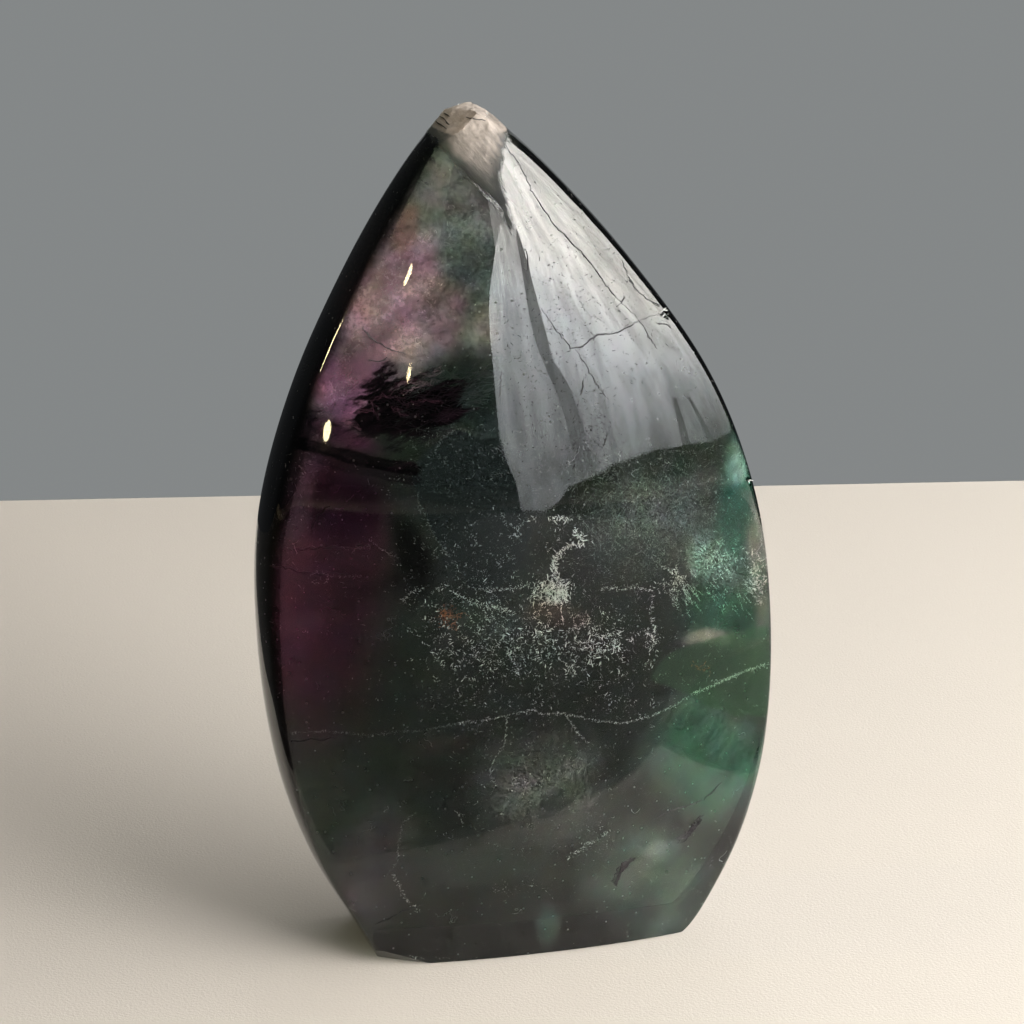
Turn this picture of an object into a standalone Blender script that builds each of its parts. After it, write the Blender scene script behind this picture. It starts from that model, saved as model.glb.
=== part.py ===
"""A polished fluorite freeform: one flame-shaped stone that stands on its sawn foot.

Metres, +Z up. The broad polished face looks along -Y, the stone's width lies along X, and the
origin is on the table under the middle of the stone. The stone is one grown piece, so it is one
solid: a slab ground to a flame outline, with a domed front, a domed back and a hand-ground rim
between them, a sawn foot, and a tip that broke off along the mineral's cleavage.
"""

import math

import bmesh
import bpy
from mathutils import Euler, Vector

# Driving sizes
HEIGHT = 0.1055  # foot to tip
STATIONS = (0.000, 0.004, 0.012, 0.024, 0.040, 0.056, 0.072, 0.087, 0.098, HEIGHT)  # up the stone

# The two flanks of the flame, as x at each station
LEFT_FLANK = (-0.0191, -0.0211, -0.0256, -0.0296, -0.0317, -0.0313, -0.0269, -0.0199, -0.0134, -0.0076)
RIGHT_FLANK = (0.0205, 0.0234, 0.0278, 0.0311, 0.0317, 0.0295, 0.0233, 0.0128, 0.0032, -0.0046)

# Half the rim's thickness, and how far the two domes stand proud of it, at each station
RIM_HALF = (0.0084, 0.0079, 0.0070, 0.0061, 0.0054, 0.0050, 0.0048, 0.0045, 0.0038, 0.0030)
FRONT_DOME = (0.0016, 0.0027, 0.0048, 0.0074, 0.0091, 0.0090, 0.0069, 0.0045, 0.0026, 0.0014)
BACK_DOME = (0.0014, 0.0023, 0.0040, 0.0062, 0.0076, 0.0075, 0.0060, 0.0040, 0.0024, 0.0014)
RIM_MIDDLE = 0.0008  # the back is a little flatter than the front, so the rim sits a little behind
DOME_POWER = 2.2  # 2 is a parabola, and more is flatter in the middle and steeper at the rim
RIM_BULGE = 0.0006  # the rim is ground by hand and is a little round

# The polished edge between rim and dome, as how far it cuts back, and the most that it takes of
# half a narrow section's width and of half a thin rim
EDGE_CUT = 0.0014
EDGE_SHARE = 0.22
EDGE_RIM_SHARE = 0.6
FOOT_EDGE = 0.0004

# How finely the surface is cut
RINGS = 34
DOME_STEPS = 16
RIM_STEPS = 3
EDGE_STEPS = 4

# Flat cleavage breaks, each as a point on it and the way it faces
TIP_BREAKS = (
    ((-0.0060, -0.0050, 0.1015), (-0.10, -0.85, 0.52)),
    ((-0.0094, 0.0000, 0.1030), (-0.60, -0.12, 0.79)),
    ((-0.0062, 0.0010, 0.1054), (-0.30, 0.02, 0.95)),
    ((-0.0048, 0.0010, 0.1055), (0.30, -0.10, 0.95)),
    ((-0.0034, 0.0000, 0.1049), (0.58, 0.08, 0.81)),
    ((-0.0060, 0.0045, 0.1046), (-0.08, 0.72, 0.69)),
)
FOOT_BREAKS = (
    ((-0.0185, -0.0051, 0.0000), (-0.35, -0.55, -0.76)),
    ((0.0200, -0.0063, 0.0000), (0.62, -0.30, -0.72)),
)

# Small chips out of the polished edge, each as its middle, its size and its turn in degrees
EDGE_CHIPS = (
    ((0.0173, -0.0043, 0.0803), 0.0011, (35, 20, 40)),
    ((0.0284, -0.0045, 0.0584), 0.0009, (15, 50, 10)),
)

STONE = "fluorite_freeform"
COLOUR = (0.075, 0.085, 0.080, 1.0)
ROUGHNESS = 0.06
REFRACTIVE_INDEX = 1.434


def at_height(values, height):
    """A smooth curve through one value at each station, read at a height."""
    last = len(STATIONS) - 1
    i = max(0, min(last - 1, sum(height >= s for s in STATIONS) - 1))
    span = STATIONS[i + 1] - STATIONS[i]
    t = (height - STATIONS[i]) / span

    def slope(k):
        before, after = max(0, k - 1), min(last, k + 1)
        return (values[after] - values[before]) / (STATIONS[after] - STATIONS[before])

    return (
        (2 * t**3 - 3 * t**2 + 1) * values[i]
        + (t**3 - 2 * t**2 + t) * span * slope(i)
        + (3 * t**2 - 2 * t**3) * values[i + 1]
        + (t**3 - t**2) * span * slope(i + 1)
    )


def quarter(half, rim, proud):
    """From the middle of a dome to the middle of the rim, as (across, out) with both positive."""
    cut = min(EDGE_CUT, EDGE_SHARE * half)
    across_end = 1 - cut / half

    def dome(across):
        return Vector((across * half, rim + proud * (1 - across**DOME_POWER)))

    def rim_face(t):
        return Vector((half + RIM_BULGE * math.sin(math.pi / 2 * (1 - t)), rim * t))

    rim_end = 1 - min(cut, EDGE_RIM_SHARE * rim) / rim
    half_dome = DOME_STEPS // 2
    points = [dome(across_end * k / half_dome) for k in range(half_dome + 1)]
    corner, start, end = dome(1), dome(across_end), rim_face(rim_end)
    for k in range(1, EDGE_STEPS):
        t = k / EDGE_STEPS
        points.append((1 - t) ** 2 * start + 2 * t * (1 - t) * corner + t**2 * end)
    points += [rim_face(rim_end * (1 - k / RIM_STEPS)) for k in range(RIM_STEPS + 1)]
    return points


def section(height):
    """The stone's outline at a height, anticlockwise from the middle of the front dome."""
    left, right = at_height(LEFT_FLANK, height), at_height(RIGHT_FLANK, height)
    middle, half = (left + right) / 2, (right - left) / 2
    rim = at_height(RIM_HALF, height)
    front = quarter(half, rim, at_height(FRONT_DOME, height))
    back = quarter(half, rim, at_height(BACK_DOME, height))
    outline = (
        [(x, -y) for x, y in front[:-1]]
        + [(x, y) for x, y in back[:0:-1]]
        + [(-x, y) for x, y in back[:-1]]
        + [(-x, -y) for x, y in front[:0:-1]]
    )
    return [Vector((middle + x, RIM_MIDDLE + y, height)) for x, y in outline]


def ground_slab():
    """A cylinder with a ring at each step of height, each ring moved to the stone's section there."""
    around = len(section(0))
    bm = bmesh.new()
    bmesh.ops.create_cone(
        bm, cap_ends=True, cap_tris=False, segments=around, radius1=1.0, radius2=1.0, depth=1.0
    )
    uprights = [e for e in bm.edges if abs(e.verts[0].co.z - e.verts[1].co.z) > 0.5]
    bmesh.ops.subdivide_edges(bm, edges=uprights, cuts=RINGS - 1, use_grid_fill=True)
    for vert in bm.verts:
        height = round((vert.co.z + 0.5) * RINGS) / RINGS * HEIGHT
        turn = math.atan2(vert.co.y, vert.co.x) / math.tau * around
        vert.co = section(height)[round(turn) % around]
    bmesh.ops.recalc_face_normals(bm, faces=bm.faces)
    return bm


def round_foot_edge(bm):
    foot = [e for e in bm.edges if all(v.co.z < 1e-6 for v in e.verts)]
    bmesh.ops.bevel(bm, geom=foot, offset=FOOT_EDGE, segments=2, profile=0.5, affect="EDGES")


def break_off(bm, point, facing):
    """Takes off what lies past a flat break, and closes the stone there."""
    everything = bm.verts[:] + bm.edges[:] + bm.faces[:]
    cut = bmesh.ops.bisect_plane(
        bm, geom=everything, dist=1e-7, plane_co=point, plane_no=facing, clear_outer=True
    )
    rim = [e for e in cut["geom_cut"] if isinstance(e, bmesh.types.BMEdge)]
    bmesh.ops.holes_fill(bm, edges=rim)


def new_object(name, mesh, collection):
    obj = bpy.data.objects.new(name, mesh)
    collection.objects.link(obj)
    return obj


def new_collection(name):
    collection = bpy.data.collections.new(name)
    bpy.context.scene.collection.children.link(collection)
    return collection


def chip_cutter(number, middle, size, turn, collection):
    """A small wedge that bites a chip out of the polished edge."""
    bm = bmesh.new()
    bmesh.ops.create_cone(
        bm, cap_ends=True, cap_tris=False, segments=4, radius1=size, radius2=size / 3, depth=size
    )
    mesh = bpy.data.meshes.new("chip_cutter")
    bm.to_mesh(mesh)
    bm.free()
    cutter = new_object(f"chip_cutter_{number}", mesh, collection)
    cutter.location = middle
    cutter.rotation_euler = Euler([math.radians(a) for a in turn])
    cutter.hide_render = True
    cutter.display_type = "WIRE"
    return cutter


def fluorite():
    material = bpy.data.materials.new("fluorite")
    material.use_nodes = True
    shader = material.node_tree.nodes["Principled BSDF"]
    shader.inputs["Base Color"].default_value = COLOUR
    shader.inputs["Roughness"].default_value = ROUGHNESS
    shader.inputs["IOR"].default_value = REFRACTIVE_INDEX
    shader.inputs["Metallic"].default_value = 0.0
    return material


def freeform(collection, cutters):
    bm = ground_slab()
    round_foot_edge(bm)
    for point, facing in TIP_BREAKS + FOOT_BREAKS:
        break_off(bm, point, facing)
    mesh = bpy.data.meshes.new(STONE)
    bm.to_mesh(mesh)
    bm.free()
    mesh.materials.append(fluorite())
    stone = new_object(STONE, mesh, collection)
    for number, (middle, size, turn) in enumerate(EDGE_CHIPS, 1):
        bite = stone.modifiers.new(f"edge_chip_{number}", "BOOLEAN")
        bite.operation = "DIFFERENCE"
        bite.solver = "EXACT"
        bite.object = chip_cutter(number, middle, size, turn, cutters)
    mesh.shade_smooth()
    mesh.set_sharp_from_angle(angle=math.radians(30))
    return stone


def main():
    for obj in list(bpy.data.objects):
        bpy.data.objects.remove(obj, do_unlink=True)
    freeform(new_collection(STONE), new_collection("cutters"))


main()
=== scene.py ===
"""The looks of the fluorite freeform: a polished, see-through stone with colour zones and veils.

Metres, +Z up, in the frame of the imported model. The photo's pixels are given in its 1024 x 1024
frame as (column, row), and each is carried to the stone along the camera's line of sight.
"""

import math

import bmesh
import bpy
import numpy as np
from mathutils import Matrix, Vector, noise
from mathutils.interpolate import poly_3d_calc


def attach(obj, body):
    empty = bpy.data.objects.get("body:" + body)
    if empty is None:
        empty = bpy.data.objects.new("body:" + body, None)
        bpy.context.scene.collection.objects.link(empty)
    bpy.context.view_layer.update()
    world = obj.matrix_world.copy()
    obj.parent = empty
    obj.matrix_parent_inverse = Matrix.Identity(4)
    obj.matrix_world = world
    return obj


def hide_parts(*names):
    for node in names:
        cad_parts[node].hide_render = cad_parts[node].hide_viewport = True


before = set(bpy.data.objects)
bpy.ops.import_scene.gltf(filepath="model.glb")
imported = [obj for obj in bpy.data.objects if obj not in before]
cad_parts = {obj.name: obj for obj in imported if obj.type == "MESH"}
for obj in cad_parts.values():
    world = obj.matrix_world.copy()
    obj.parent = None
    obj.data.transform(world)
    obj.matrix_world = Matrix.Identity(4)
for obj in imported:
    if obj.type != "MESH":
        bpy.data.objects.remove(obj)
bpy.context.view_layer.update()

# Camera
# It stands a little above the stone and to the left of its middle, as the photo's did. The lens
# axis meets the photo below its middle, so the picture is shifted by that much.
PICTURE = 1024
AIM = Vector((-0.00075, 0.0, 0.0525))
CAMERA_AZIMUTH = -15.0
CAMERA_ELEVATION = 18.0
CAMERA_DISTANCE = 0.42
FOCAL_PIXELS = 3425.8
AXIS_ROW = 533.6
SENSOR = 36.0


def bearing(azimuth, elevation):
    """The way to something at these angles, in degrees: azimuth 0 is -Y and 90 is +X."""
    a, e = math.radians(azimuth), math.radians(elevation)
    return Vector((math.sin(a) * math.cos(e), -math.cos(a) * math.cos(e), math.sin(e)))


towards_camera = bearing(CAMERA_AZIMUTH, CAMERA_ELEVATION)
eye = AIM + towards_camera * CAMERA_DISTANCE
camera_data = bpy.data.cameras.new("camera")
camera_data.sensor_width = SENSOR
camera_data.lens = FOCAL_PIXELS / PICTURE * SENSOR
camera_data.shift_y = (AXIS_ROW - PICTURE / 2) / PICTURE
camera_data.clip_start = 0.01
camera_data.clip_end = 20.0
camera = bpy.data.objects.new("camera", camera_data)
camera.location = eye
camera.rotation_mode = "QUATERNION"
camera.rotation_quaternion = (-towards_camera).to_track_quat("-Z", "Y")
bpy.context.scene.collection.objects.link(camera)
bpy.context.scene.camera = camera
bpy.context.scene.view_settings.view_transform = "Standard"


def sight_line(column, row):
    """The direction in which the camera sees a pixel of the photo."""
    ahead = -towards_camera
    right = ahead.cross(Vector((0, 0, 1))).normalized()
    up = right.cross(ahead)
    across = (column - PICTURE / 2) / FOCAL_PIXELS
    down = (row - AXIS_ROW) / FOCAL_PIXELS
    return (ahead + right * across - up * down).normalized()


# Stone
# One lump of fluorite, sawn to a flame, ground to two domes with a rim between them, and polished.
# Its tip and one corner of its foot broke along the cleavage and were left rough.
STONE = "fluorite_freeform"
INDEX = 1.434
SHARP = math.radians(28)
SMOOTH_STEPS = 2
FINE_FROM = 0.0930
ROUGH_FROM = 0.1008
ROUGH_FULL = 0.0030
HACKLE = 0.00009
HACKLE_GRAIN = 0.0012
BROKEN_FROM = 0.1030


def select_only(obj):
    bpy.ops.object.select_all(action="DESELECT")
    obj.select_set(True)
    bpy.context.view_layer.objects.active = obj


def new_piece(name, mesh):
    piece = bpy.data.objects.new(name, mesh)
    bpy.context.scene.collection.objects.link(piece)
    return piece


def smooth_copy(node, name):
    """A finer copy of a solid, its flat breaks kept flat and its ground faces made smooth."""
    mesh = node.data.copy()
    mesh.materials.clear()
    piece = new_piece(name, mesh)
    select_only(piece)
    bpy.ops.mesh.customdata_custom_splitnormals_clear()
    bpy.ops.object.mode_set(mode="EDIT")
    bpy.ops.mesh.select_all(action="SELECT")
    bpy.ops.mesh.remove_doubles(threshold=1e-6)
    bpy.ops.mesh.tris_convert_to_quads(face_threshold=math.radians(12), shape_threshold=math.radians(50))
    bpy.ops.mesh.select_all(action="DESELECT")
    bpy.ops.mesh.select_mode(type="EDGE")
    bpy.ops.mesh.edges_select_sharp(sharpness=SHARP)
    bpy.ops.transform.edge_crease(value=1.0)
    bpy.ops.object.mode_set(mode="OBJECT")
    finer = piece.modifiers.new("finer", "SUBSURF")
    finer.levels = finer.render_levels = SMOOTH_STEPS
    bpy.ops.object.modifier_apply(modifier=finer.name)
    return piece


stone = smooth_copy(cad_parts[STONE], "polished_stone")

# The broken tip is cut finer, to carry its rough grain.
select_only(stone)
bpy.ops.object.mode_set(mode="EDIT")
bpy.ops.mesh.select_mode(type="FACE")
bpy.ops.mesh.select_all(action="DESELECT")
shape = bmesh.from_edit_mesh(stone.data)
for face in shape.faces:
    face.select = face.calc_center_median().z > FINE_FROM
bmesh.update_edit_mesh(stone.data)
bpy.ops.mesh.subdivide(number_cuts=2)
bpy.ops.object.mode_set(mode="OBJECT")

# The break's faces are roughened.
places = np.array([vert.co[:] for vert in stone.data.vertices])
outward = np.array([normal.vector[:] for normal in stone.data.vertex_normals])
for vert, out in zip(stone.data.vertices, outward):
    rough = min(1.0, max(0.0, (vert.co.z - ROUGH_FROM) / ROUGH_FULL))
    if rough:
        spot = Vector(places[vert.index])
        grain = noise.noise(spot / HACKLE_GRAIN) + 0.6 * noise.noise(spot / (0.4 * HACKLE_GRAIN))
        places[vert.index] -= out * (HACKLE * rough * (0.9 + grain))
stone.data.vertices.foreach_set("co", places.ravel())
stone.data.update()
select_only(stone)
bpy.ops.object.shade_smooth_by_angle(angle=SHARP)
stone_normals = [Vector(normal.vector) for normal in stone.data.vertex_normals]


def on_stone(column, row):
    """Where the camera's line through a pixel meets the stone, and the smooth normal there."""
    found, place, _, index = stone.ray_cast(eye, sight_line(column, row))
    if not found:
        return None
    corners = stone.data.polygons[index].vertices
    shares = poly_3d_calc([stone.data.vertices[i].co for i in corners], place)
    normal = sum((stone_normals[i] * share for i, share in zip(corners, shares)), Vector())
    return place, normal.normalized()


def put(tree, kind, values=None, **settings):
    """Adds a node. Each of its values is a number, a colour or another node's output."""
    made = tree.nodes.new(kind)
    for name, value in settings.items():
        setattr(made, name, value)
    for name, value in (values or {}).items():
        if isinstance(value, bpy.types.NodeSocket):
            tree.links.new(value, made.inputs[name])
        else:
            made.inputs[name].default_value = value
    return made


def maths(tree, operation, first, second=0.0):
    return put(tree, "ShaderNodeMath", {0: first, 1: second}, operation=operation).outputs[0]


def ramp(tree, value, low, high, to_low=0.0, to_high=1.0):
    """Carries low to to_low and high to to_high with a smooth step between them."""
    return put(
        tree,
        "ShaderNodeMapRange",
        {"Value": value, 1: low, 2: high, 3: to_low, 4: to_high},
        interpolation_type="SMOOTHSTEP",
    ).outputs[0]


def mixed_colour(tree, share, under, over, blend="MIX"):
    made = put(tree, "ShaderNodeMix", {0: share, 6: under, 7: over}, data_type="RGBA", blend_type=blend)
    return made.outputs[2]


def mixed_value(tree, share, under, over):
    return put(tree, "ShaderNodeMix", {0: share, 2: under, 3: over}, data_type="FLOAT").outputs[0]


def new_material(name):
    material = bpy.data.materials.new(name)
    material.use_nodes = True
    tree = material.node_tree
    return material, tree, tree.nodes["Principled BSDF"], tree.nodes["Material Output"]


def noise_at(tree, place, scale, detail=3.0, roughness=0.55):
    """A cloud of this many lumps to the metre: its value and its colours, all about 0.5."""
    made = put(
        tree,
        "ShaderNodeTexNoise",
        {"Vector": place, "Scale": scale, "Detail": detail, "Roughness": roughness},
        normalize=True,
    )
    return made.outputs[0], made.outputs[1]


def turned(tree, place, middle, turn, sizes):
    """The place in a frame about a middle, its X turned down to the right, in these units."""
    return put(
        tree,
        "ShaderNodeMapping",
        {"Vector": place, "Location": middle, "Rotation": (0.0, math.radians(turn), 0.0), "Scale": sizes},
        vector_type="TEXTURE",
    ).outputs[0]


# Colour zones, the later over the earlier: the middle in the photo, half the width and height in
# pixels, the turn in degrees, the tint of the stone, and how milky it is
ZONES = (
    ((325, 580), (105, 240), 4, (0.36, 0.13, 0.22), 0.024),    # purple of the left side
    ((445, 215), (62, 125), -18, (0.36, 0.38, 0.33), 0.170),   # grey green below the tip
    ((388, 300), (92, 104), -15, (0.58, 0.37, 0.42), 0.290),   # mauve
    ((345, 388), (62, 52), -20, (0.57, 0.27, 0.42), 0.260),    # mauve, deeper
    ((438, 322), (32, 44), 0, (0.52, 0.37, 0.38), 0.120),      # mauve, greyer
    ((474, 322), (24, 44), 0, (0.42, 0.41, 0.34), 0.165),      # olive
    ((462, 256), (42, 52), 0, (0.26, 0.33, 0.29), 0.165),      # green
    ((402, 229), (17, 32), 25, (0.56, 0.34, 0.33), 0.230),     # tan
    ((480, 565), (110, 190), 0, (0.34, 0.41, 0.37), 0.016),    # black middle
    ((484, 410), (40, 80), 6, (0.26, 0.34, 0.31), 0.036),      # green black beside the window
    ((456, 394), (52, 44), 0, (0.15, 0.22, 0.20), 0.024),      # green black, right end of the ledge
    ((350, 438), (62, 15), 8, (0.46, 0.16, 0.32), 0.044),      # purple strip below the ledge
    ((345, 505), (66, 46), -6, (0.26, 0.07, 0.19), 0.010),     # dark purple
    ((300, 505), (15, 60), 24, (0.42, 0.20, 0.30), 0.045),     # pale streaks in it
    ((322, 500), (9, 46), 34, (0.20, 0.05, 0.13), 0.004),      # a dark streak
    ((294, 610), (44, 120), 4, (0.44, 0.14, 0.25), 0.050),     # wine red
    ((410, 552), (26, 56), -14, (0.08, 0.08, 0.09), 0.001),    # black beside the clear pane
    ((655, 510), (96, 84), -30, (0.34, 0.42, 0.38), 0.021),    # grey lint
    ((740, 490), (34, 120), 0, (0.10, 0.48, 0.34), 0.025),     # green shoulder
    ((716, 560), (34, 44), 0, (0.36, 0.60, 0.45), 0.084),      # pale green
    ((725, 612), (60, 42), 0, (0.13, 0.42, 0.26), 0.030),      # deep green
    ((718, 635), (38, 11), -10, (0.60, 0.62, 0.47), 0.090),    # beige patch
    ((705, 755), (90, 80), 0, (0.18, 0.46, 0.30), 0.066),      # teal green
    ((545, 790), (90, 80), 0, (0.44, 0.47, 0.42), 0.045),      # haze
    ((368, 872), (66, 84), 20, (0.40, 0.34, 0.38), 0.058),     # violet grey
    ((480, 865), (100, 34), 0, (0.22, 0.32, 0.26), 0.035),     # grey green
    ((655, 885), (96, 78), 0, (0.36, 0.50, 0.40), 0.058),      # pale green foot
    ((662, 852), (20, 13), -10, (0.50, 0.60, 0.50), 0.120),    # pale spot over the dark leaf
    ((440, 742), (50, 20), 0, (0.34, 0.28, 0.24), 0.016),      # brown
    ((738, 456), (24, 38), 10, (0.38, 0.64, 0.54), 0.165),     # pale green at the window's end
    ((768, 565), (14, 120), 4, (0.44, 0.46, 0.36), 0.060),     # olive, along the right edge
    ((545, 932), (16, 22), 0, (0.30, 0.58, 0.45), 0.038),      # teal spot
    ((560, 618), (44, 24), 0, (0.44, 0.34, 0.28), 0.018),      # brown
)
MIDDLE_TINT, MIDDLE_MILK = (0.40, 0.44, 0.41), 0.006
ZONE_FADE = 0.65
ZONE_WARP, ZONE_WARP_SIZE = 20.0, 0.012
ZONE_WARP_SEED = 434  # one that leaves the small zones close to their places
# The zones with a clear edge, as outlines in the photo. The ledge and the band below it are black,
# the pane is the flat clear patch left of the middle, and the pocket lies at the right edge.
LEDGE = (
    (312, 420), (330, 416), (349, 413), (360, 404), (360, 396), (372, 384), (386, 374), (396, 373),
    (398, 384), (412, 386), (430, 378), (448, 376), (462, 384), (466, 402), (456, 420), (432, 432),
    (400, 431), (372, 433), (353, 429), (341, 426), (322, 426),
)
BAND = ((296, 443), (321, 448), (347, 456), (372, 462), (394, 466), (416, 470))
BAND_HALF = 6.5
PANE = (
    (419, 501), (410, 472), (424, 452), (443, 438), (457, 430), (470, 434), (482, 440), (498, 434),
    (512, 470), (524, 512), (532, 530), (522, 562), (500, 588), (470, 590), (460, 573), (449, 556),
    (433, 534),
)
POCKET = (
    (649, 678), (660, 662), (675, 650), (700, 643), (741, 631), (768, 624), (775, 700), (764, 716),
    (740, 716), (717, 709), (684, 693), (666, 685),
)
FROSTED = (
    (425, 128), (436, 108), (458, 96), (480, 96), (500, 110), (507, 126), (506, 140), (501, 160),
    (500, 178), (505, 195), (509, 214), (513, 234), (509, 226), (502, 208), (490, 197), (476, 184),
    (460, 168), (446, 152), (435, 138),
)
LINT = (
    ((648, 523), (90, 80), 1.0), ((540, 600), (130, 110), 0.8), ((540, 790), (90, 80), 0.7),
    ((460, 470), (70, 90), 0.6), ((725, 560), (50, 70), 1.0),
)
OUTLINE_REACH = 40.0
LEDGE_TINT = (0.050, 0.024, 0.038, 1.0)
PANE_TINT = (0.24, 0.31, 0.33, 1.0)
POCKET_TINT = (0.17, 0.42, 0.20, 1.0)
SMOKE_TINT, SMOKE_DENSITY = (0.34, 0.40, 0.36, 1.0), 240.0
SHADOW_TINT = (0.80, 0.80, 0.78, 1.0)
# The side faces of the rim get a darker tint and less milk: painted shade.
RIM_SHADE_TINT_LOSS, RIM_SHADE_MILK_LOSS = 0.55, 0.9  # the ground rim shows less of the zones
# How frosted the break is: from row to row and from column to column of the photo
FROST_BY_ROW = (
    (104, 0.6), (110, 0.88), (117, 0.88), (124, 0.68), (134, 0.60), (150, 0.53), (164, 0.34),
    (178, 0.18), (200, 0.10), (240, 0.05),
)
FROST_BY_COLUMN = ((434, 0.22), (446, 0.50), (456, 1.0))
FROST_TINT = (0.76, 0.66, 0.585, 1.0)
FROST_MILK = 0.48
FROST_SHINE = (0.12, 0.12, 0.12, 1.0)
STRIAE_AT = (470, 180)
STRIAE_TURN = 52.0


def pixels_of(points):
    """The photo's pixel at which the camera sees each point."""
    ahead = -towards_camera
    right = ahead.cross(Vector((0, 0, 1))).normalized()
    up = right.cross(ahead)
    seen = points - np.array(eye)
    far = seen @ np.array(ahead)
    return np.column_stack(
        [PICTURE / 2 + FOCAL_PIXELS * (seen @ np.array(right)) / far,
         AXIS_ROW - FOCAL_PIXELS * (seen @ np.array(up)) / far]
    )


def blob(pixels, middle, halves, turn=0.0):
    """1 in the middle of an ellipse of pixels, and 0 outside it."""
    away = pixels - middle
    c, s = math.cos(math.radians(turn)), math.sin(math.radians(turn))
    across, down = away[:, 0] * c + away[:, 1] * s, away[:, 1] * c - away[:, 0] * s
    near = np.clip((1 - np.hypot(across / halves[0], down / halves[1])) / ZONE_FADE, 0, 1)
    return near**2 * (3 - 2 * near)


def off_line(pixels, line):
    """How far each pixel is from a line of pixels."""
    nearest = np.full(len(pixels), np.inf)
    for start, end in zip(np.array(line, float)[:-1], np.array(line, float)[1:]):
        run = end - start
        share = np.clip((pixels - start) @ run / (run @ run), 0, 1)
        nearest = np.minimum(nearest, np.hypot(*(pixels - start - share[:, None] * run).T))
    return nearest


def within(pixels, outline):
    """How far each pixel lies inside an outline, and negative outside it."""
    closed = (*outline, outline[0])
    inside = np.zeros(len(pixels), bool)
    for (x0, y0), (x1, y1) in zip(closed[:-1], closed[1:]):
        if y0 == y1:
            continue
        level = (y0 > pixels[:, 1]) != (y1 > pixels[:, 1])
        inside ^= level & (pixels[:, 0] < x0 + (x1 - x0) * (pixels[:, 1] - y0) / (y1 - y0))
    away = off_line(pixels, closed)
    return np.where(inside, away, -away)


def mark(mesh, name, values):
    """Keeps a value, or a colour as a vector, for each point of a mesh."""
    kind = "FLOAT" if values.ndim == 1 else "FLOAT_VECTOR"
    kept = mesh.attributes.new(name, kind, "POINT")
    kept.data.foreach_set("value" if values.ndim == 1 else "vector", values.astype(np.float32).ravel())


pixels = pixels_of(places)
noise.seed_set(ZONE_WARP_SEED)
warp = np.array([noise.noise_vector(Vector(spot) / ZONE_WARP_SIZE)[:] for spot in places])
warped = pixels + ZONE_WARP * warp[:, [0, 2]]
tint = np.tile(MIDDLE_TINT, (len(places), 1))
milk = np.full(len(places), MIDDLE_MILK)
for middle, halves, turn, colour, cloudy in ZONES:
    share = blob(warped, middle, halves, turn)
    tint += share[:, None] * (np.array(colour) - tint)
    milk += share * (cloudy - milk)
band = BAND_HALF - off_line(pixels, BAND)
facing = np.abs(outward[:, 1])
# Painted shade: faces turned sideways get a darker tint and less milk.
shaded_rim = ((0.75 - facing) / 0.35).clip(0, 1)
mark(stone.data, "tint", tint * (1 - RIM_SHADE_TINT_LOSS * shaded_rim)[:, None])
mark(stone.data, "milk", milk * (1 - RIM_SHADE_MILK_LOSS * shaded_rim))
mark(stone.data, "band", band.clip(-OUTLINE_REACH, OUTLINE_REACH))
for name, outline in (("ledge", LEDGE), ("pane", PANE), ("pocket", POCKET)):
    mark(stone.data, name, within(pixels, outline).clip(-OUTLINE_REACH, OUTLINE_REACH))
frosted = within(pixels, FROSTED)
on_top = (outward[:, 2] > 0.45) & (places[:, 2] > BROKEN_FROM)
reach = np.where(on_top, OUTLINE_REACH, frosted)
mark(stone.data, "frosted", reach.clip(-OUTLINE_REACH, OUTLINE_REACH))
frost_and_painted_light = np.interp(pixels[:, 1], *zip(*FROST_BY_ROW)) * (0.30 + 0.70 * (frosted / 14).clip(0, 1))
left_share = np.interp(pixels[:, 0], *zip(*FROST_BY_COLUMN))
# On the broken top, the frost is raised on faces turned left, away from the window, and lowered on faces
# turned to it: painted light.
top_frost_and_painted_light = 1.2 * (1 - outward[:, 0]).clip(0.4, 1.9)
mark(stone.data, "frost_and_painted_light", np.where(on_top & (outward[:, 1] > -0.62), top_frost_and_painted_light, frost_and_painted_light) * left_share)
lint = np.zeros(len(places))
for middle, halves, strength in LINT:
    lint = np.maximum(lint, strength * blob(warped, middle, halves))
mark(stone.data, "lint", lint)


def marked(tree, name):
    return put(tree, "ShaderNodeAttribute", attribute_name=name)


def edged(tree, name, ragged, cloud, fade):
    """1 inside a marked outline and 0 outside it, its edge moved by a cloud, up to ragged pixels."""
    moved = maths(tree, "MULTIPLY", maths(tree, "SUBTRACT", cloud, 0.5), ragged)
    return ramp(tree, maths(tree, "ADD", marked(tree, name).outputs["Fac"], moved), -fade, fade)


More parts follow.
